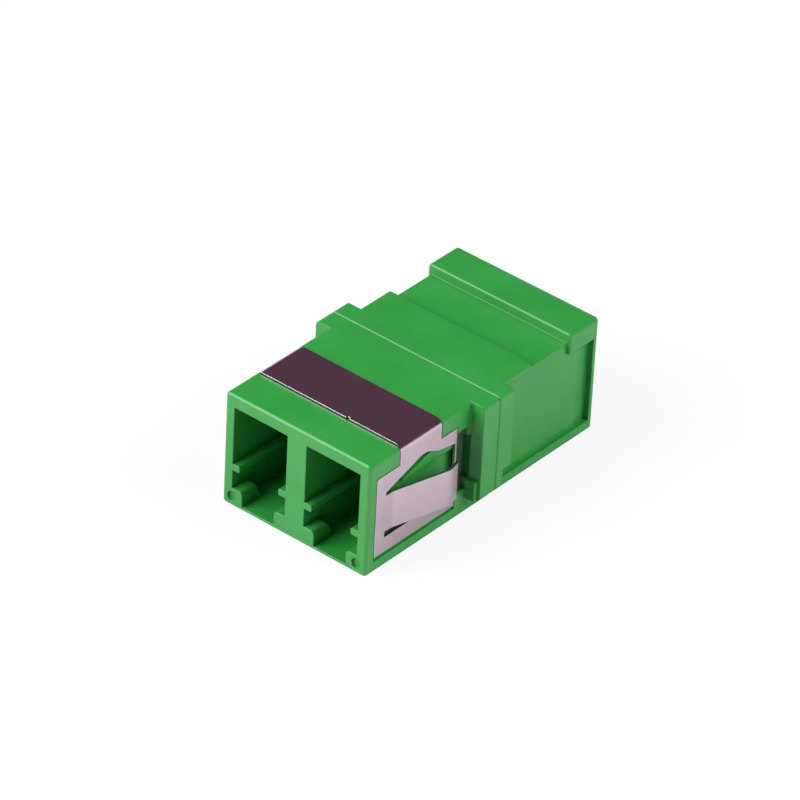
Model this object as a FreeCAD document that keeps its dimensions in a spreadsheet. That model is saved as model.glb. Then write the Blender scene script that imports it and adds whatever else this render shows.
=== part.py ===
import FreeCAD, Part
import math
import os
import Sketcher
from types import SimpleNamespace

# Duplex fibre optic coupler, snap-in panel type
#
# X runs across the two ports, Y along the mating axis and Z up. The plug latches face down.
# Y is zero at mid-length and Z is zero on the underside. Each piece is drawn with the seam between
# the two housing halves at its own Y zero, and its placement then centres the whole part.

# Driving sizes in millimetres: cell alias, value, what it is
SIZES = [
    ("port_pitch", 6.25, "spacing of the two port centres"),
    ("port_width", 4.62, "width of a port"),
    ("outer_wall", 0.79, "thickness of the wall outside each port"),
    ("plug_bottom", 3.4, "height of the rails that carry the plug"),
    ("plug_height", 4.52, "height of the port above the rails"),
    ("roof", 0.95, "thickness of the roof over the ports"),
    ("front_half_len", 11.85, "front mouth face to the seam"),
    ("rear_half_len", 11.65, "seam to the rear mouth face"),
    ("edge_radius", 0.3, "rounding of the long edges"),
    ("mouth_radius", 0.24, "rounding round the two mouth faces"),
    ("seam_chamfer", 0.08, "bevel of each half along the weld seam"),

    ("ear_reach", 1.075, "how far a flange ear stands out from the housing's side"),
    ("front_ear_len", 1.62, "thickness of the front half of the flange"),
    ("rear_ear_len", 1.5, "thickness of the rear half of the flange"),
    ("ear_bottom", 1.35, "height of the lower end of the ears"),
    ("ear_radius", 0.25, "rounding of the ears' corners"),
    ("rear_ear_bottom", 2.65, "lower end of the thick part of the rear ears"),
    ("rear_web_len", 0.7, "thickness of the rear ears below that"),
    ("seat_pad_len", 0.3, "how far the panel seat pads stand forward of the ears"),
    ("seat_pad_inset", 0.25, "pads' outer edge to the ears' outer edge"),
    ("seat_pad_top", 2.8, "height of the top of the seat pads"),

    ("shoulder_len", 3.0, "full-height stretch behind the flange"),
    ("waist_step", 0.325, "how far the waist is set in on each side"),
    ("waist_drop", 0.59, "how far the waist is set down"),
    ("collar_len", 3.01, "length of the rear collar"),
    ("collar_step", 0.025, "how far the collar is set in on each side"),
    ("collar_rise", 0.18, "how far the collar stands above the rest of the housing"),
    ("collar_edge", 0.16, "rounding of the collar's front edge"),
    ("collar_band", 1.55, "height of the collar's side bands"),
    ("collar_rim", 0.45, "thickness of the rim behind the collar's side pockets"),
    ("collar_pocket_len", 1.1, "length of the deep pocket in each side of the collar"),
    ("collar_pocket_depth", 0.15, "depth of that pocket below the waist's sides"),
    ("ledge_height", 0.85, "height of the ledge along the foot of the sides"),

    ("rail_height", 0.5, "height of a rail"),
    ("rail_depth", 0.62, "how far a rail stands out from the port's side"),
    ("rail_radius", 0.12, "rounding of a rail's edges"),
    ("latch_floor", 0.3, "thickness of the floor under the latch"),
    ("catch_top", 1.45, "height of the top of the latch catches"),
    ("catch_gap", 2.8, "free width between the two catches of a port"),
    ("catch_len", 1.9, "length of the catches from the mouth face"),
    ("catch_slope", 0.5, "length of the slope on the inner end of a catch"),
    ("catch_radius", 0.28, "rounding of a catch's upper edge"),
    ("mid_wall", 1.2, "thickness of the wall at the seam, each half"),

    ("sleeve_outer", 1.62, "outer diameter of an alignment sleeve"),
    ("sleeve_inner", 1.25, "inner diameter of an alignment sleeve"),
    ("sleeve_len", 6.8, "length of an alignment sleeve"),
    ("sleeve_slit", 0.35, "width of the sleeve's slit"),
    ("sleeve_play", 0.06, "gap round the sleeve in its holder"),
    ("sleeve_end_play", 0.1, "gap at each end of the sleeve"),
    ("holder_outer", 2.9, "outer diameter of a sleeve holder"),
    ("holder_lip", 0.5, "thickness of the lip that keeps the sleeve in"),
    ("ferrule_hole", 1.4, "narrow end of the hole in that lip"),
    ("lead_in", 0.35, "how far that hole widens towards the plug"),
    ("holder_bevel", 0.2, "bevel round the free end of a holder"),

    ("peg_width", 0.9, "diameter of a locating peg"),
    ("peg_len", 0.8, "length of a locating peg"),
    ("peg_play", 0.05, "gap round and beyond a peg in its socket"),
    ("peg_low", 2.0, "height of the lower peg"),
    ("peg_margin", 1.47, "upper peg to the top of the housing"),

    ("mark_width", 0.8, "diameter of the ejector marks on the front face"),
    ("mark_depth", 0.2, "depth of the ejector marks"),
    ("mark_inset", 0.825, "ejector marks to the housing's sides"),
    ("mark_height", 0.78, "height of the ejector marks"),

    ("sheet", 0.2, "thickness of the spring sheet"),
    ("clip_play", 0.03, "gap between the sheet and the housing behind it"),
    ("edge_play", 0.06, "gap between the sheet's edges and its seat"),
    ("plate_start", 0.8, "front face to the side plates"),
    ("plate_bottom", 1.2, "height of a plate's lower edge"),
    ("plate_drop", 1.39, "plate's upper edge to the top of the housing"),
    ("plate_radius", 0.15, "rounding of the plates' corners"),
    ("seat_margin", 0.3, "how far the seat reaches below the plate"),
    ("hem_len", 1.1, "length of the hem bent inwards behind a plate"),
    ("hem_low", 0.9, "plate's lower edge to the hem's lower edge"),
    ("hem_high", 0.48, "hem's upper edge to the plate's upper edge"),
    ("hem_drop", 0.2, "how far the hem bends inwards"),
    ("clip_gap", 0.28, "hem to the front of the flange ears"),
    ("bridge_front", 2.25, "plate's front edge to the bridge"),
    ("bridge_rear", 1.65, "bridge to the plate's rear edge"),
    ("bridge_proud", 0.15, "how far the bridge stands above the housing"),
    ("bend_radius", 0.35, "inner radius of the bridge's bends"),
    ("nick_side", 1.64, "nick in the bridge's front edge to the middle"),
    ("nick_width", 0.26, "width of that nick"),
    ("nick_depth", 0.14, "depth of that nick"),
    ("window_front", 0.95, "plate's front edge to the window that the tongue is cut from"),
    ("window_rear", 0.13, "window to the plate's rear edge"),
    ("strip_low", 1.19, "height of the strip below the window"),
    ("strip_front", 1.48, "height of the strip above the window at its front"),
    ("strip_arch", 0.2, "height of that strip where the two slopes of its arch would meet"),
    ("strip_foot", 0.86, "height of that strip at the rear foot of the arch"),
    ("strip_rear", 1.16, "height of that strip at the window's rear"),
    ("arch_back", 3.25, "middle of the arch to the plate's rear edge"),
    ("foot_back", 1.85, "rear foot of the arch to the plate's rear edge"),
    ("arch_radius", 1.5, "rounding of the arch"),
    ("tongue_gap", 0.46, "gap between the window's lower edge and the tongue's root"),
    ("tongue_drop", 1.73, "plate's upper edge to the upper edge of the tongue's root"),
    ("tongue_fall", 0.35, "how far the tongue runs down towards its tip"),
    ("tongue_root", 0.75, "length of the flat root of the tongue"),
    ("tongue_radius", 1.0, "inner radius of the tongue's bends"),
    ("tongue_back", 1.65, "bend near the tongue's end to the plate's rear edge"),
    ("tongue_setback", 0.095, "tongue's bend to the outer side of the ears"),
    ("tongue_tip_len", 1.0, "length of the tip beyond that bend"),
    ("tongue_tip_drop", 0.25, "how far the tip turns back in"),
    ("relief_depth", 0.3, "depth of the relief behind the tongue, below the plate's seat"),
    ("relief_margin", 0.3, "room below the tongue when it is pressed in"),
    ("boss_gap", 0.1, "upper edge of the tongue's root to the boss that shows in the window"),
    ("boss_front", 1.85, "window's front edge to the foot of that boss"),
    ("boss_back", 2.35, "head of the boss to the plate's rear edge"),
    ("boss_drop", 0.73, "head of the boss to the plate's upper edge"),
    ("ear_slot", 0.12, "how far the relief runs in behind the front of the ears"),
]


class Size:
    """A length that knows its value in millimetres and the sheet formula it comes from."""

    def __init__(self, value, formula):
        self.value = value
        self.formula = formula

    @staticmethod
    def of(other):
        return other if isinstance(other, Size) else Size(float(other), repr(other))

    def join(self, sign, other, value):
        return Size(value, "(%s %s %s)" % (self.formula, sign, Size.of(other).formula))

    def __add__(self, other):
        return self.join("+", other, self.value + Size.of(other).value)

    def __sub__(self, other):
        return self.join("-", other, self.value - Size.of(other).value)

    def __mul__(self, other):
        return self.join("*", other, self.value * Size.of(other).value)

    def __truediv__(self, other):
        return self.join("/", other, self.value / Size.of(other).value)

    def __neg__(self):
        return Size(-self.value, "(-%s)" % self.formula)


ZERO = Size(0.0, "0")

doc = FreeCAD.newDocument("DuplexCoupler")
sheet = doc.addObject("Spreadsheet::Sheet", "Sizes")
for row, (alias, value, meaning) in enumerate(SIZES, start=1):
    sheet.set("A%d" % row, alias)
    sheet.set("B%d" % row, str(value))
    sheet.setAlias("B%d" % row, alias)
    sheet.set("C%d" % row, meaning)
doc.recompute()
d = SimpleNamespace(**{alias: Size(value, "Sizes." + alias) for alias, value, _ in SIZES})

# Outside of the housing, built up from the ports
half_width = (d.port_pitch + d.port_width) / 2 + d.outer_wall
half_flange = half_width + d.ear_reach
plug_top = d.plug_bottom + d.plug_height
body_height = plug_top + d.roof
axis_height = d.plug_bottom + d.plug_height / 2
holder_len = d.sleeve_len / 2 + d.sleeve_end_play + d.holder_lip
centring = (d.front_half_len - d.rear_half_len) / 2
peg_heights = (d.peg_low, body_height - d.peg_margin)

# Places of the clip that its seat shares
plate_inner = half_width - d.sheet
plate_top = body_height - d.plate_drop
plate_front = d.plate_start - d.front_half_len
hem_rear = -(d.front_ear_len + d.clip_gap)
plate_rear = hem_rear - d.hem_len
bridge_front = plate_front + d.bridge_front
bridge_rear = plate_rear - d.bridge_rear
bridge_top = body_height + d.bridge_proud
window_front = plate_front + d.window_front
window_rear = plate_rear - d.window_rear
window_bottom = d.plate_bottom + d.strip_low
window_rear_top = plate_top - d.strip_rear
root_bottom = window_bottom + d.tongue_gap
root_top = plate_top - d.tongue_drop
tip_bottom = root_bottom - d.tongue_fall
tip_top = root_top - d.tongue_fall
hem_bottom = d.plate_bottom + d.hem_low
hem_top = plate_top - d.hem_high
arch_top = plate_top - d.strip_arch
SIDES = (("left", -1), ("right", 1))


def bind(obj, prop, size):
    obj.setExpression(prop, size.formula)


def new_body(label):
    """A piece of the coupler, moved so that the whole part is centred along Y."""
    body = doc.addObject("PartDesign::Body", label)
    body.Label = label
    bind(body, "Placement.Base.y", centring)
    return body


def origin_plane(body, role):
    return next(feature for feature in body.Origin.OriginFeatures if feature.Role == role)


def new_sketch(body, name, role, offset):
    """A sketch on an origin plane, moved along the plane's normal. XZ_Plane's normal is -Y."""
    sketch = body.newObject("Sketcher::SketchObject", name + "_sketch")
    sketch.AttachmentSupport = [(origin_plane(body, role), "")]
    sketch.MapMode = "FlatFace"
    bind(sketch, "AttachmentOffset.Base.z", offset)
    return sketch


def pin_point(sketch, geometry, point, x, y):
    """Holds a point of the sketch at two sizes."""
    for kind, size, axis in (("DistanceX", x, -2), ("DistanceY", y, -1)):
        if size is ZERO:
            sketch.addConstraint(Sketcher.Constraint("PointOnObject", geometry, point, axis))
        else:
            index = sketch.addConstraint(Sketcher.Constraint(kind, geometry, point, size.value))
            bind(sketch, "Constraints[%d]" % index, size)


def corner_arc(before, corner, after, radius):
    """The arc that rounds a corner: its two ends and, where it turns clockwise, their order reversed."""
    back = (before - corner).normalize()
    on = (after - corner).normalize()
    half_angle = back.getAngle(on) / 2
    trim = radius / math.tan(half_angle)
    centre = corner + (back + on).normalize() * (radius / math.sin(half_angle))
    first = corner + back * trim
    last = corner + on * trim
    clockwise = back.cross(on).z > 0
    start, end = (last, first) if clockwise else (first, last)
    angles = [math.atan2(p.y - centre.y, p.x - centre.x) for p in (start, end)]
    circle = Part.Circle(centre, FreeCAD.Vector(0, 0, 1), radius)
    return Part.ArcOfCircle(circle, angles[0], angles[1]), first, last, clockwise


def draw_outline(sketch, corners):
    """A closed outline through corners (x, y) or, where rounded, (x, y, radius), all of them sizes."""
    count = len(corners)
    places = [FreeCAD.Vector(c[0].value, c[1].value, 0) for c in corners]
    starts = list(places)
    ends = list(places)
    arcs = {}
    for i, corner in enumerate(corners):
        if len(corner) == 3:
            arc, ends[i], starts[i], clockwise = corner_arc(
                places[i - 1], places[i], places[(i + 1) % count], corner[2].value)
            arcs[i] = (sketch.addGeometry(arc, False), clockwise)
    sides = []
    for i in range(count):
        line = Part.LineSegment(starts[i], ends[(i + 1) % count])
        sides.append(sketch.addGeometry(line, False))
    for i, corner in enumerate(corners):
        if i in arcs:
            arc, clockwise = arcs[i]
            first, last = (2, 1) if clockwise else (1, 2)
            sketch.addConstraint(Sketcher.Constraint("Tangent", sides[i - 1], 2, arc, first))
            sketch.addConstraint(Sketcher.Constraint("Tangent", sides[i], 1, arc, last))
            index = sketch.addConstraint(Sketcher.Constraint("Radius", arc, corner[2].value))
            bind(sketch, "Constraints[%d]" % index, corner[2])
            point = sketch.addGeometry(Part.Point(places[i]), True)
            pin_point(sketch, point, 1, corner[0], corner[1])
            sketch.addConstraint(Sketcher.Constraint("PointOnObject", point, 1, sides[i - 1]))
            sketch.addConstraint(Sketcher.Constraint("PointOnObject", point, 1, sides[i]))
        else:
            sketch.addConstraint(Sketcher.Constraint("Coincident", sides[i - 1], 2, sides[i], 1))
            pin_point(sketch, sides[i], 1, corner[0], corner[1])


def box_corners(x_low, x_high, y_low, y_high, *radius):
    """The four corners of an upright rectangle, rounded where a radius is given."""
    return [(x, y) + radius for x, y in ((x_low, y_low), (x_high, y_low), (x_high, y_high), (x_low, y_high))]


def capped_corners(half, flat, rounded, radius):
    """The four corners of an upright rectangle between two heights, with rounds at one of the heights only."""
    return [(-half, flat), (half, flat), (half, rounded, radius), (-half, rounded, radius)]


def draw_circle(sketch, x, y, diameter):
    centre = FreeCAD.Vector(x.value, y.value, 0)
    circle = sketch.addGeometry(Part.Circle(centre, FreeCAD.Vector(0, 0, 1), diameter.value / 2), False)
    index = sketch.addConstraint(Sketcher.Constraint("Diameter", circle, diameter.value))
    bind(sketch, "Constraints[%d]" % index, diameter)
    pin_point(sketch, circle, 3, x, y)


def extrude(body, kind, name, sketch, length, reverse=False):
    """A Pad along the sketch's normal or a Pocket against it, or the other way round if reversed."""
    feature = body.newObject("PartDesign::" + kind, name)
    feature.Profile = sketch
    bind(feature, "Length", length)
    feature.Reversed = reverse
    return feature


def turn(body, kind, name, sketch):
    """A Revolution or Groove of a sketch round its own vertical axis."""
    feature = body.newObject("PartDesign::" + kind, name)
    feature.Profile = sketch
    feature.ReferenceAxis = (sketch, ["V_Axis"])
    feature.Angle = 360
    return feature


def dress(body, kind, name, prop, size, wanted):
    """A Fillet or Chamfer of the edges of the piece so far that the test wants."""
    doc.recompute()
    tip = body.Tip
    edges = ["Edge%d" % number for number, edge in enumerate(tip.Shape.Edges, start=1) if wanted(edge)]
    feature = body.newObject("PartDesign::" + kind, name)
    feature.Base = (tip, edges)
    bind(feature, prop, size)
    return feature


def rim_of_face(body, y):
    """A test for the outer edges of the piece's largest flat face at a place along Y."""
    doc.recompute()
    flat = [face for face in body.Tip.Shape.Faces
            if face.BoundBox.YLength < 1e-6 and abs(face.BoundBox.YMin - y) < 1e-6]
    rim = max(flat, key=lambda face: face.Area).OuterWire.Edges
    return lambda edge: any(edge.isSame(other) for other in rim)


def step_edges(y, half, bottom, top):
    """A test for the edges at a place along Y that stand out beside or above a smaller block's outline."""
    def wanted(edge):
        box = edge.BoundBox
        middle = box.Center
        beyond = abs(middle.x) > half + 1e-6 or middle.z > top + 1e-6
        return box.YLength < 1e-6 and abs(middle.y - y) < 1e-6 and beyond and middle.z > bottom + 1e-6
    return wanted


def slab(body, name, facing, corners, start, length):
    """A slab of housing with an outline across X, from start, a distance from the seam, on towards the mouth face."""
    sketch = new_sketch(body, name, "XZ_Plane", start * -facing)
    draw_outline(sketch, corners)
    return extrude(body, "Pad", name, sketch, length, facing > 0)


def block(body, name, facing, half, bottom, top, start, length, *radius):
    """A slab with a box for its outline, of a half width."""
    return slab(body, name, facing, box_corners(-half, half, bottom, top, *radius), start, length)


def cut_ports(body, facing, half_len):
    """Two plug ports, open at the mouth face: plug space, rails, latch space and catches."""
    mouth = half_len * -facing
    depth = half_len - d.mid_wall
    half_port = d.port_width / 2
    half_gap = d.catch_gap / 2
    inside = half_port - d.rail_depth
    rail_bottom = d.plug_bottom - d.rail_height
    sketch = new_sketch(body, "ports", "XZ_Plane", mouth)
    for _, side in SIDES:
        middle = d.port_pitch / 2 * side
        right_half = [(half_gap, d.latch_floor), (half_gap, d.catch_top, d.catch_radius), (half_port, d.catch_top),
                      (half_port, rail_bottom), (inside, rail_bottom, d.rail_radius),
                      (inside, d.plug_bottom, d.rail_radius), (half_port, d.plug_bottom), (half_port, plug_top)]
        left_half = [(-x, *rest) for x, *rest in reversed(right_half)]
        draw_outline(sketch, [(middle + x, *rest) for x, *rest in right_half + left_half])
    extrude(body, "Pocket", "ports", sketch, depth, facing > 0)

    # Behind the catches the latch space is as wide as the port, and the catches end in a slope
    for name, side in SIDES:
        middle = d.port_pitch / 2 * side
        room = new_sketch(body, name + "_latch_room", "YZ_Plane", middle - half_port)
        slope_foot = (half_len - d.catch_len) * facing
        slope_head = (half_len - d.catch_len + d.catch_slope) * facing
        back = d.mid_wall * facing
        draw_outline(room, [(back, d.latch_floor), (slope_foot, d.latch_floor),
                            (slope_head, d.catch_top), (back, d.catch_top)])
        extrude(body, "Pocket", name + "_latch_room", room, d.port_width, True)


def add_holders(body, facing):
    """Two round sleeve holders on the wall at the seam, bored from the seam for half a sleeve."""
    holder_radius = d.holder_outer / 2
    bore_radius = d.sleeve_outer / 2 + d.sleeve_play
    hole_radius = d.ferrule_hole / 2
    bore_end = holder_len - d.holder_lip
    outside = [(ZERO, ZERO), (holder_radius, ZERO), (holder_radius, holder_len - d.holder_bevel),
               (holder_radius - d.holder_bevel, holder_len), (ZERO, holder_len)]
    inside = [(ZERO, ZERO), (bore_radius, ZERO), (bore_radius, bore_end), (hole_radius, bore_end),
              (hole_radius + d.lead_in, holder_len), (ZERO, holder_len)]
    for kind, form, outline in (("Revolution", "holder", outside), ("Groove", "bore", inside)):
        for name, side in SIDES:
            sketch = new_sketch(body, "%s_%s" % (name, form), "XY_Plane", axis_height)
            bind(sketch, "AttachmentOffset.Base.x", d.port_pitch / 2 * side)
            draw_outline(sketch, [(x, y if y is ZERO else y * facing) for x, y in outline])
            turn(body, kind, "%s_%s" % (name, form), sketch)


def cut_side(body, name, corners, outer, floor):
    """A pocket in both sides of a housing, from outside the piece in to a floor."""
    for side_name, side in SIDES:
        sketch = new_sketch(body, "%s_%s" % (side_name, name), "YZ_Plane", outer * side)
        draw_outline(sketch, corners)
        extrude(body, "Pocket", "%s_%s" % (side_name, name), sketch, outer - floor, side < 0)


def make_front_housing():
    body = new_body("front_housing")
    ear_front = -d.front_ear_len
    block(body, "block", -1, half_width, ZERO, body_height, ZERO, d.front_half_len, d.edge_radius)
    block(body, "ears", -1, half_flange, d.ear_bottom, body_height, ZERO, d.front_ear_len, d.ear_radius)
    block(body, "seat_pads", -1, half_flange - d.seat_pad_inset, d.ear_bottom, d.seat_pad_top,
          d.front_ear_len, d.seat_pad_len)
    cut_ports(body, -1, d.front_half_len)
    add_holders(body, -1)

    # Seat of the clip: channel for the bridge, seats for the plates, relief behind hems and tongues
    seat_floor = plate_inner - d.clip_play
    hem_floor = seat_floor - d.hem_drop
    relief_floor = seat_floor - d.relief_depth
    seat_bottom = d.plate_bottom - d.seat_margin
    seat_top = plate_top + d.edge_play
    channel_top = bridge_top - d.sheet - d.clip_play
    channel = new_sketch(body, "bridge_channel", "XZ_Plane", -(bridge_front - d.edge_play))
    draw_outline(channel, [(-half_flange, seat_top), (-seat_floor, seat_top),
                           (-seat_floor, channel_top, d.bend_radius), (seat_floor, channel_top, d.bend_radius),
                           (seat_floor, seat_top), (half_flange, seat_top),
                           (half_flange, bridge_top), (-half_flange, bridge_top)])
    extrude(body, "Pocket", "bridge_channel", channel, bridge_rear - bridge_front + d.edge_play * 2)
    seat_front = plate_front - d.edge_play
    hem_front = plate_rear - d.edge_play
    seat_rear = hem_rear + d.edge_play
    cut_side(body, "plate_seat", box_corners(seat_front, plate_rear + d.edge_play, seat_bottom, seat_top),
             half_width, seat_floor)
    cut_side(body, "hem_seat",
             box_corners(hem_front, seat_rear, hem_bottom - d.edge_play, hem_top + d.edge_play),
             half_width, hem_floor)
    relief_bottom = tip_bottom - d.relief_margin
    boss_bottom = root_top + d.boss_gap
    boss_head = plate_rear - d.boss_back
    cut_side(body, "tongue_relief",
             [(window_front, relief_bottom), (hem_front, relief_bottom), (hem_front, boss_bottom),
              (window_front + d.boss_front, boss_bottom), (boss_head, plate_top - d.boss_drop),
              (boss_head, arch_top), (window_front, arch_top)],
             half_width, relief_floor)
    cut_side(body, "ear_relief", box_corners(seat_rear, ear_front + d.ear_slot, d.seat_pad_top, window_rear_top),
             half_width, relief_floor)

    dress(body, "Fillet", "mouth_rounding", "Radius", d.mouth_radius,
          rim_of_face(body, -d.front_half_len.value))
    marks = new_sketch(body, "ejector_marks", "XZ_Plane", d.front_half_len)
    for _, side in SIDES:
        draw_circle(marks, (half_width - d.mark_inset) * side, d.mark_height, d.mark_width)
    extrude(body, "Pocket", "ejector_marks", marks, d.mark_depth)

    dress(body, "Chamfer", "seam_bevel", "Size", d.seam_chamfer, rim_of_face(body, 0.0))
    pegs = new_sketch(body, "pegs", "XZ_Plane", ZERO)
    for height in peg_heights:
        draw_circle(pegs, ZERO, height, d.peg_width)
    extrude(body, "Pad", "pegs", pegs, d.peg_len, True)
    return body


def make_rear_housing():
    body = new_body("rear_housing")
    shoulder_end = d.rear_ear_len + d.shoulder_len
    collar_front = d.rear_half_len - d.collar_len
    collar_top = body_height + d.collar_rise
    collar_skirt = collar_top - d.collar_band
    half_waist = half_width - d.waist_step
    half_collar = half_width - d.collar_step
    waist_top = body_height - d.waist_drop
    block(body, "core", 1, half_waist, ZERO, waist_top, ZERO, d.rear_half_len)
    block(body, "root", 1, half_width, ZERO, body_height, ZERO, d.rear_web_len, d.edge_radius)
    slab(body, "shoulder", 1, capped_corners(half_width, waist_top, body_height, d.edge_radius), ZERO, shoulder_end)
    slab(body, "ledge", 1, capped_corners(half_collar, d.ledge_height, ZERO, d.edge_radius), ZERO, collar_front)
    block(body, "collar", 1, half_collar, ZERO, collar_top, collar_front, d.collar_len, d.edge_radius)
    dress(body, "Fillet", "collar_rounding", "Radius", d.collar_edge,
          step_edges(collar_front.value, half_waist.value, d.ledge_height.value, waist_top.value))
    block(body, "ears", 1, half_flange, d.rear_ear_bottom, body_height, ZERO, d.rear_ear_len, d.ear_radius)
    block(body, "ear_webs", 1, half_flange, d.ear_bottom, body_height, ZERO, d.rear_web_len, d.ear_radius)
    cut_ports(body, 1, d.rear_half_len)
    add_holders(body, 1)

    # The collar's sides are cut back to the waist under a band, and deeper in front of the rear rim
    rim_front = d.rear_half_len - d.collar_rim
    cut_side(body, "collar_recess", box_corners(collar_front, rim_front, d.ledge_height, collar_skirt),
             half_collar, half_waist)
    cut_side(body, "collar_pocket",
             box_corners(rim_front - d.collar_pocket_len, rim_front, d.ledge_height, collar_skirt),
             half_collar, half_waist - d.collar_pocket_depth)

    dress(body, "Fillet", "mouth_rounding", "Radius", d.mouth_radius,
          rim_of_face(body, d.rear_half_len.value))
    dress(body, "Chamfer", "seam_bevel", "Size", d.seam_chamfer, rim_of_face(body, 0.0))
    sockets = new_sketch(body, "peg_sockets", "XZ_Plane", ZERO)
    for height in peg_heights:
        draw_circle(sockets, ZERO, height, d.peg_width + d.peg_play * 2)
    extrude(body, "Pocket", "peg_sockets", sockets, d.peg_len + d.peg_play)
    return body


def make_sleeve(side_name, side):
    """A ceramic tube with a slit along its top, so that it springs round the ferrules."""
    body = new_body(side_name + "_alignment_sleeve")
    bind(body, "Placement.Base.x", d.port_pitch / 2 * side)
    bind(body, "Placement.Base.z", axis_height)
    tube = new_sketch(body, "tube", "XZ_Plane", d.sleeve_len / 2)
    draw_circle(tube, ZERO, ZERO, d.sleeve_outer)
    draw_circle(tube, ZERO, ZERO, d.sleeve_inner)
    extrude(body, "Pad", "tube", tube, d.sleeve_len, True)
    slit = new_sketch(body, "slit", "XZ_Plane", d.sleeve_len / 2)
    half_slit = d.sleeve_slit / 2
    draw_outline(slit, box_corners(-half_slit, half_slit, d.sleeve_inner / 4, d.sleeve_outer))
    extrude(body, "Pocket", "slit", slit, d.sleeve_len)
    return body


def make_panel_clip():
    """One folded sheet: a bridge over the top, and on each side a plate, a hem and a sprung tongue."""
    body = new_body("panel_clip")
    outer_bend = d.bend_radius + d.sheet
    bridge = new_sketch(body, "bridge", "XZ_Plane", -bridge_front)
    draw_outline(bridge, [(-half_width, plate_top), (-plate_inner, plate_top),
                          (-plate_inner, bridge_top - d.sheet, d.bend_radius),
                          (plate_inner, bridge_top - d.sheet, d.bend_radius),
                          (plate_inner, plate_top), (half_width, plate_top),
                          (half_width, bridge_top, outer_bend), (-half_width, bridge_top, outer_bend)])
    extrude(body, "Pad", "bridge", bridge, bridge_rear - bridge_front, True)

    plate = new_sketch(body, "plate", "YZ_Plane", plate_inner)
    draw_outline(plate, [(plate_front, d.plate_bottom, d.plate_radius), (plate_rear, d.plate_bottom),
                         (plate_rear, plate_top), (plate_front, plate_top, d.plate_radius)])
    draw_outline(plate, [(window_front, window_bottom), (window_rear, window_bottom, d.plate_radius),
                         (window_rear, window_rear_top, d.plate_radius),
                         (plate_rear - d.foot_back, plate_top - d.strip_foot),
                         (plate_rear - d.arch_back, arch_top, d.arch_radius),
                         (window_front, plate_top - d.strip_front)])
    plates = extrude(body, "Pad", "plate", plate, d.sheet)

    hem = new_sketch(body, "hem", "XY_Plane", hem_bottom)
    draw_outline(hem, [(plate_inner, plate_rear), (plate_inner - d.hem_drop, hem_rear),
                       (half_width - d.hem_drop, hem_rear), (half_width, plate_rear)])
    hems = extrude(body, "Pad", "hem", hem, hem_top - hem_bottom)

    root_end = window_front + d.tongue_root
    bend = plate_rear - d.tongue_back
    tip = bend + d.tongue_tip_len
    splay = d.ear_reach - d.tongue_setback
    tip_splay = splay - d.tongue_tip_drop
    outer_curve = d.tongue_radius + d.sheet
    tongue = new_sketch(body, "tongue", "XY_Plane", tip_bottom)
    draw_outline(tongue, [(half_width, window_front), (half_width, root_end, d.tongue_radius),
                          (half_width + splay, bend, outer_curve), (half_width + tip_splay, tip),
                          (plate_inner + tip_splay, tip), (plate_inner + splay, bend, d.tongue_radius),
                          (plate_inner, root_end, outer_curve), (plate_inner, window_front)])
    tongues = extrude(body, "Pad", "tongue", tongue, root_top - tip_bottom)

    # The tongue's upper and lower edges run down towards its tip
    slant = new_sketch(body, "tongue_slant", "YZ_Plane", half_flange)
    draw_outline(slant, [(window_front, window_bottom), (tip, window_bottom),
                         (tip, tip_bottom), (window_front, root_bottom)])
    draw_outline(slant, [(window_front, root_top), (tip, tip_top), (tip, root_top)])
    slants = extrude(body, "Pocket", "tongue_slant", slant, half_flange - plate_inner)

    other_side = body.newObject("PartDesign::Mirrored", "other_side")
    other_side.Originals = [plates, hems, tongues, slants]
    other_side.MirrorPlane = (origin_plane(body, "YZ_Plane"), [""])
    body.Tip = other_side

    # Where the strip that carried the clip through the press was sheared off
    nick = new_sketch(body, "nick", "XY_Plane", bridge_top)
    draw_outline(nick, box_corners(d.nick_side - d.nick_width / 2, d.nick_side + d.nick_width / 2,
                                   bridge_front - d.nick_depth, bridge_front + d.nick_depth))
    extrude(body, "Pocket", "nick", nick, d.sheet)
    return body


pieces = [make_front_housing(), make_rear_housing(), make_panel_clip()]
pieces += [make_sleeve(side_name, side) for side_name, side in SIDES]
doc.recompute()

for obj in doc.Objects:
    if "Invalid" in obj.State or "Error" in obj.State:
        raise RuntimeError("%s failed: %s" % (obj.Label, obj.State))
os.makedirs("parts", exist_ok=True)
for piece in pieces:
    shape = piece.Shape
    if shape.isNull() or not shape.isValid() or len(shape.Solids) != 1:
        raise RuntimeError("%s is not one valid solid" % piece.Label)
for piece in pieces:
    piece.Shape.exportStep("parts/%s.step" % piece.Label)
    box = piece.Shape.BoundBox
    print("%-24s %8.3f mm3  X %.2f..%.2f  Y %.2f..%.2f  Z %.2f..%.2f" % (
        piece.Label, piece.Shape.Volume, box.XMin, box.XMax, box.YMin, box.YMax, box.ZMin, box.ZMax))
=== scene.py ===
# %% [markdown]
# A duplex fibre optic coupler
#
# The part is a green moulded housing in two halves, a folded spring-steel clip that holds it in a panel, and
# two ceramic sleeves inside it that line up the fibres. The solids come from the CAD model, with their places
# in their vertices and one metre to a Blender unit, so this lesson gives them finishes, light and a camera.

# %% Load the solids
import math

import bpy
import numpy as np
from mathutils import Matrix, Vector

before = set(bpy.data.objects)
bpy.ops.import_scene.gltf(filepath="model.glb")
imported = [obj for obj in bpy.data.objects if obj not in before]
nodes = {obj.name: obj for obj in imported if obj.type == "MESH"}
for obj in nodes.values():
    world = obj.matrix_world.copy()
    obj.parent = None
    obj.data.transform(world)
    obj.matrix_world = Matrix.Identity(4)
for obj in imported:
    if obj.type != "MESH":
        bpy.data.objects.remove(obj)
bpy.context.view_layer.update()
MM = 0.001
for name, node in sorted(nodes.items()):
    print(name, len(node.data.polygons), "triangles")
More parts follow.
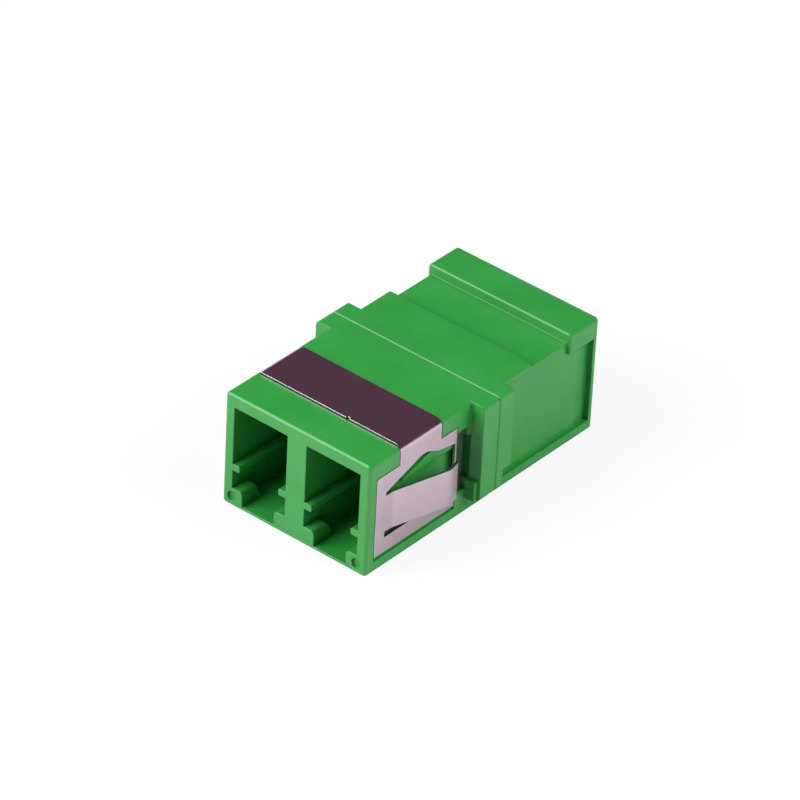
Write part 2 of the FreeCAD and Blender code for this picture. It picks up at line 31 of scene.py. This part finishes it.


# %% [markdown]
# Colours
#
# A colour on a screen is an sRGB value, but a shader works with linear light. One function
# turns a hex colour into linear numbers, so every colour below is written as a paint chart would write it.

# %% Hex colours to linear light
def linear(hex_colour):
    """Each channel c: c / 12.92 up to 0.04045, else ((c + 0.055) / 1.055) to the power 2.4; alpha is 1."""
    channels = np.array([int(hex_colour[i:i + 2], 16) for i in (1, 3, 5)]) / 255
    light = np.where(channels <= 0.04045, channels / 12.92, ((channels + 0.055) / 1.055) ** 2.4)
    return (*light.tolist(), 1.0)


print("mid grey #808080 is", round(linear("#808080")[0], 3), "in linear light")


# %% [markdown]
# Building a node tree
#
# A material is a small graph. One function adds a node, sets its properties and fills its sockets: a value
# that is an output socket becomes a link, and anything else is written on the socket as a constant.

# %% One function for every node
def add_node(tree, kind, sockets, **settings):
    """Adds a node of a kind; sockets maps an input's name or number to a constant or an output socket."""
    node = tree.nodes.new("ShaderNode" + kind)
    for key, value in settings.items():
        setattr(node, key, value)
    for key, value in sockets.items():
        if isinstance(value, bpy.types.NodeSocket):
            tree.links.new(value, node.inputs[key])
        else:
            node.inputs[key].default_value = value
    return node


def new_material(name):
    """An empty material with its output node, ready for a shader."""
    material = bpy.data.materials.new(name)
    material.use_nodes = True
    material.node_tree.nodes.clear()
    return material, material.node_tree, material.node_tree.nodes.new("ShaderNodeOutputMaterial")


# %% [markdown]
# Green PBT, injection moulded
#
# The housing is glass-filled PBT, a tough plastic that moulders colour green for angle-polished connectors.
# Its mould is spark-eroded to a fine matt texture, so the plastic has a satin sheen and no mirror. Three
# things show that: a very slight drift of the colour where the melt flowed, a sheen that varies a little from
# place to place, and a pebbled grain. The real grain is about 0.02 mm, too fine for the picture, so it is
# drawn at 0.09 mm.
#
# A moulded edge is never quite sharp. The Bevel node shades each edge as if it were rounded by about a tenth
# of a millimetre, and leaves the mesh as it is. A Bevel modifier would round the mesh itself, but around thin
# walls with many small steps its new faces run into each other.

# %% The green plastic
FLOW = 3.5 * MM
GRAIN = 0.09 * MM
GRAIN_HEIGHT = 0.004 * MM
MOULDED_EDGE = 0.12 * MM
PBT_IOR = 1.57
RAMP_ENDS = (0.3, 0.7)
plastic, tree, out = new_material("moulded_green_pbt")
place = add_node(tree, "TexCoord", {})
flow = add_node(tree, "TexNoise", {"Vector": place.outputs["Object"], "Scale": 1 / FLOW, "Detail": 3.0})
tint = add_node(tree, "ValToRGB", {"Fac": flow.outputs["Fac"]})
for end, position, colour in zip(tint.color_ramp.elements, RAMP_ENDS, ("#217F30", "#288638")):
    end.position = position
    end.color = linear(colour)
grain = add_node(tree, "TexNoise", {"Vector": place.outputs["Object"], "Scale": 1 / GRAIN, "Detail": 1.0})
sheen = add_node(tree, "MapRange", {"Value": flow.outputs["Fac"], "To Min": 0.36, "To Max": 0.44})
edges = add_node(tree, "Bevel", {"Radius": MOULDED_EDGE}, samples=8)
relief = add_node(tree, "Bump", {
    "Height": grain.outputs["Fac"], "Distance": GRAIN_HEIGHT, "Strength": 0.5,
    "Normal": edges.outputs["Normal"]})
shader = add_node(tree, "BsdfPrincipled", {
    "Base Color": tint.outputs["Color"], "Roughness": sheen.outputs["Result"],
    "Normal": relief.outputs["Normal"], "IOR": PBT_IOR})
tree.links.new(shader.outputs["BSDF"], out.inputs["Surface"])
print(plastic.name, len(tree.nodes), "nodes")

# %% [markdown]
# Stainless spring strip, cold rolled
#
# The clip is pressed from thin rolled strip. Polished rolls leave it bright, with faint lines along the
# direction of rolling, so its reflections are a little longer one way than the other. The lines run along the
# bridge. They are a few hundredths of a millimetre wide on the strip and are drawn at 0.06 mm, stretched to
# 3 mm. The press shears the outline, and its punch rolls the edges over by a few hundredths of a millimetre,
# so the Bevel node is used again, with a smaller radius: the clip's cut edges catch the light as a thin line.

# %% The steel
LINE_LENGTH, LINE_WIDTH = 3.0, 0.06
LINE_DEPTH = 0.0006 * MM
SMEAR = 1.4 * MM
SHEARED_EDGE = 0.035 * MM
steel, tree, out = new_material("rolled_stainless_spring_strip")
place = add_node(tree, "TexCoord", {})
stretch = add_node(tree, "Mapping", {
    "Vector": place.outputs["Object"], "Scale": (1 / LINE_LENGTH, 1 / LINE_WIDTH, 1 / LINE_WIDTH)})
lines = add_node(tree, "TexNoise", {"Vector": stretch.outputs["Vector"], "Scale": 1 / MM, "Detail": 2.0})
smear = add_node(tree, "TexNoise", {"Vector": place.outputs["Object"], "Scale": 1 / SMEAR, "Detail": 3.0})
polish = add_node(tree, "MapRange", {"Value": lines.outputs["Fac"], "To Min": 0.17, "To Max": 0.27})
tint = add_node(tree, "ValToRGB", {"Fac": smear.outputs["Fac"]})
for end, position, colour in zip(tint.color_ramp.elements, RAMP_ENDS, ("#C6B0BF", "#CDB8C6")):
    end.position = position
    end.color = linear(colour)
edges = add_node(tree, "Bevel", {"Radius": SHEARED_EDGE}, samples=8)
relief = add_node(tree, "Bump", {
    "Height": lines.outputs["Fac"], "Distance": LINE_DEPTH, "Strength": 0.4,
    "Normal": edges.outputs["Normal"]})
shader = add_node(tree, "BsdfPrincipled", {
    "Base Color": tint.outputs["Color"], "Metallic": 1.0, "Roughness": polish.outputs["Result"],
    "Normal": relief.outputs["Normal"]})
tree.links.new(shader.outputs["BSDF"], out.inputs["Surface"])
print(steel.name, len(tree.nodes), "nodes")

# %% [markdown]
# Zirconia, ground and polished
#
# The alignment sleeves are zirconia, a dense white ceramic that is ground to size and polished. It bends
# light strongly, so its gloss is bright and crisp, with a faint warm cast where the light goes in.

# %% The ceramic
CLOUD = 0.8 * MM
ZIRCONIA_IOR = 2.15
ceramic, tree, out = new_material("polished_zirconia")
place = add_node(tree, "TexCoord", {})
cloud = add_node(tree, "TexNoise", {"Vector": place.outputs["Object"], "Scale": 1 / CLOUD, "Detail": 2.0})
tint = add_node(tree, "ValToRGB", {"Fac": cloud.outputs["Fac"]})
for end, colour in zip(tint.color_ramp.elements, ("#E6E1D6", "#F0ECE4")):
    end.color = linear(colour)
polish = add_node(tree, "MapRange", {"Value": cloud.outputs["Fac"], "To Min": 0.1, "To Max": 0.18})
shader = add_node(tree, "BsdfPrincipled", {
    "Base Color": tint.outputs["Color"], "Roughness": polish.outputs["Result"], "IOR": ZIRCONIA_IOR})
tree.links.new(shader.outputs["BSDF"], out.inputs["Surface"])
print(ceramic.name, len(tree.nodes), "nodes")

# %% [markdown]
# Dressing the solids
#
# Each solid keeps its mesh and takes its finish in its own material slot. The same green plastic goes on both
# halves of the housing, because both come out of the same batch of granules.

# %% A finish for each solid
FINISHES = {
    "front_housing": plastic,
    "rear_housing": plastic,
    "panel_clip": steel,
    "left_alignment_sleeve": ceramic,
    "right_alignment_sleeve": ceramic,
}
for name, finish in FINISHES.items():
    for slot in nodes[name].material_slots:
        slot.material = finish
    print(name, "wears", finish.name)

# %% [markdown]
# Floor
#
# A product picture stands on a pale sweep with no horizon. A wide plane does that here. By the Light Path
# node its material glows white to the camera, but only in part: the rest is plain diffuse paint, which keeps
# the soft shadow under the object. Reflections see the paint alone, so that the bright steel darkens towards
# the shadow.

# %% The pale floor
FLOOR_SIZE = 3.0
CAMERA_GLOW = 0.86
corners = np.array([(-1, -1, 0), (1, -1, 0), (1, 1, 0), (-1, 1, 0)]) * FLOOR_SIZE / 2
mesh = bpy.data.meshes.new("floor")
mesh.from_pydata(corners.tolist(), [], [(0, 1, 2, 3)])
floor = bpy.data.objects.new("floor", mesh)
bpy.context.collection.objects.link(floor)
paint, tree, out = new_material("white_floor_paint")
ray = add_node(tree, "LightPath", {})
seen = add_node(tree, "Math", {
    0: ray.outputs["Is Camera Ray"], 1: ray.outputs["Is Transmission Ray"]}, operation="ADD")
share = add_node(tree, "Math", {0: seen.outputs[0], 1: CAMERA_GLOW}, operation="MULTIPLY", use_clamp=True)
matt = add_node(tree, "BsdfDiffuse", {"Color": linear("#D9D9D9")})
glow = add_node(tree, "Emission", {"Color": linear("#FFFFFF"), "Strength": 1.0})
mix = add_node(tree, "MixShader", {0: share.outputs[0], 1: matt.outputs[0], 2: glow.outputs[0]})
tree.links.new(mix.outputs[0], out.inputs["Surface"])
mesh.materials.append(paint)
print("floor", FLOOR_SIZE, "m wide")

# %% [markdown]
# Room
#
# The picture is taken in a pale room, and the room is the world. It has two strengths: the camera and the
# reflections see it white, and as a light it is much weaker, so that it only lifts the shadows a little.

# %% The pale room
ROOM_LIGHT, ROOM_SHOWN = 0.16, 1.0
world = bpy.data.worlds.new("pale_room")
bpy.context.scene.world = world
world.use_nodes = True
tree = world.node_tree
tree.nodes.clear()
out = tree.nodes.new("ShaderNodeOutputWorld")
ray = add_node(tree, "LightPath", {})
seen = add_node(tree, "Math", {
    0: ray.outputs["Is Camera Ray"], 1: ray.outputs["Is Glossy Ray"]}, operation="ADD")
seen = add_node(tree, "Math", {
    0: seen.outputs[0], 1: ray.outputs["Is Transmission Ray"]}, operation="ADD", use_clamp=True)
fill = add_node(tree, "Background", {"Color": linear("#FFFFFF"), "Strength": ROOM_LIGHT})
shown = add_node(tree, "Background", {"Color": linear("#FFFFFF"), "Strength": ROOM_SHOWN})
mix = add_node(tree, "MixShader", {0: seen.outputs[0], 1: fill.outputs[0], 2: shown.outputs[0]})
tree.links.new(mix.outputs[0], out.inputs["Surface"])
print(world.name, "lights with", ROOM_LIGHT, "and shows with", ROOM_SHOWN)

# %% [markdown]
# Soft boxes
#
# A large soft box at the front left lights the fronts, the top and the floors of the ports. A weaker one at
# the right rear keeps the right side from going dark. Both are area lights aimed at the object's middle. The
# weaker one doesn't show in reflections, because the clip's rounded bend would mirror it as a white spot.

# %% The two soft boxes
MIDDLE = Vector((0.0, 0.25, 4.5)) * MM
BOX_DISTANCE = 0.35
SOFT_BOXES = {"key": (-34, 37, 0.32, 2.34), "fill": (112, 36, 0.25, 1.34)}


def from_object(azimuth, elevation, distance):
    """A point at a distance from the middle, by azimuth (0 is the front, 90 the right) and elevation."""
    a, e = math.radians(azimuth), math.radians(elevation)
    return MIDDLE + distance * Vector((math.sin(a) * math.cos(e), -math.cos(a) * math.cos(e), math.sin(e)))


for name, (azimuth, elevation, size, power) in SOFT_BOXES.items():
    lamp = bpy.data.lights.new(name, "AREA")
    lamp.size = size
    lamp.energy = power
    box = bpy.data.objects.new(name, lamp)
    box.location = from_object(azimuth, elevation, BOX_DISTANCE)
    box.rotation_euler = (MIDDLE - box.location).to_track_quat("-Z", "Y").to_euler()
    box.visible_glossy = name == "key"
    bpy.context.collection.objects.link(box)
    print(name, "soft box", size, "m wide,", power, "W")


# %% [markdown]
# Dark dome
#
# Over the object stands a dark dome, the tent that photographers use for bright metal. The clip's flat bridge
# mirrors the dome and goes dark, while its upright plates mirror the floor and stay bright. Only reflections
# see the dome, so it takes no light away. It ends a little above the floor, and its points come from one
# formula over two arrays of angles.

# %% The dark dome
def dome_points(radius, lowest, rings, spokes):
    """A sphere's upper part: at elevation e and azimuth a, radius times (cos e sin a, cos e cos a, sin e)."""
    e, a = np.meshgrid(
        np.linspace(lowest, math.pi / 2, rings), np.linspace(0, 2 * math.pi, spokes), indexing="ij")
    return radius * np.stack((np.cos(e) * np.sin(a), np.cos(e) * np.cos(a), np.sin(e)), axis=-1)


def grid_mesh(name, points):
    """A mesh of four-sided faces through a grid of points, one face for each cell of the grid."""
    rows, columns, _ = points.shape
    index = np.arange(rows * columns).reshape(rows, columns)
    faces = np.stack((index[:-1, :-1], index[:-1, 1:], index[1:, 1:], index[1:, :-1]), axis=-1)
    mesh = bpy.data.meshes.new(name)
    mesh.from_pydata(points.reshape(-1, 3).tolist(), [], faces.reshape(-1, 4).tolist())
    return mesh


DOME_RADIUS = 0.6
DOME_RINGS, DOME_SPOKES = 24, 65
HORIZON = math.radians(8)
mesh = grid_mesh("dark_dome", dome_points(DOME_RADIUS, HORIZON, DOME_RINGS, DOME_SPOKES))
dome = bpy.data.objects.new("dark_dome", mesh)
bpy.context.collection.objects.link(dome)
cloth, tree, out = new_material("dark_plum_cloth")
glow = add_node(tree, "Emission", {"Color": linear("#624A56"), "Strength": 1.0})
tree.links.new(glow.outputs[0], out.inputs["Surface"])
mesh.materials.append(cloth)
for use in ("visible_camera", "visible_shadow", "visible_diffuse", "visible_transmission"):
    setattr(dome, use, False)
print("dome", 2 * DOME_RADIUS, "m wide,", len(mesh.polygons), "faces")

# %% [markdown]
# Camera
#
# The photograph was taken from the front right and above, with a long lens, as small products usually are:
# edges that are parallel on the part stay nearly parallel in the picture. The direction, a small roll and the
# distance were found by matching corners of the part to the photograph, and the lens is shifted by as much as
# the part is off the middle of the picture.

# %% Where the camera stands
AZIMUTH, ELEVATION = 38.45, 35.05
ROLL = math.radians(-3.14)
DISTANCE = 0.4271
back = (from_object(AZIMUTH, ELEVATION, 1.0) - MIDDLE).normalized()
level = Vector((math.cos(math.radians(AZIMUTH)), math.sin(math.radians(AZIMUTH)), 0.0))
upright = back.cross(level)
right = level * math.cos(ROLL) - upright * math.sin(ROLL)
up = level * math.sin(ROLL) + upright * math.cos(ROLL)
turn = Matrix((right, up, back)).transposed().to_4x4()
print("camera looks along", [round(v, 3) for v in -back])

# %% The photograph's lens
SENSOR = 36.0
FOCAL_PIXELS, PICTURE = 6433.0, 800
TARGET_PIXEL = (414.2, 407.4)
lens = bpy.data.cameras.new("camera")
lens.sensor_width = SENSOR
lens.lens = FOCAL_PIXELS / PICTURE * lens.sensor_width
lens.shift_x = (PICTURE / 2 - TARGET_PIXEL[0]) / PICTURE
lens.shift_y = (TARGET_PIXEL[1] - PICTURE / 2) / PICTURE
lens.clip_start, lens.clip_end = 0.01, 10.0
camera = bpy.data.objects.new("camera", lens)
camera.matrix_world = Matrix.Translation(MIDDLE + back * DISTANCE) @ turn
bpy.context.collection.objects.link(camera)
bpy.context.scene.camera = camera
print("lens", round(lens.lens, 1), "mm, shift", round(lens.shift_x, 4), round(lens.shift_y, 4))

# %% [markdown]
# Finish
#
# The Standard view shows a colour as it was written, with no film curve over it.

# %% View
bpy.context.scene.view_settings.view_transform = "Standard"
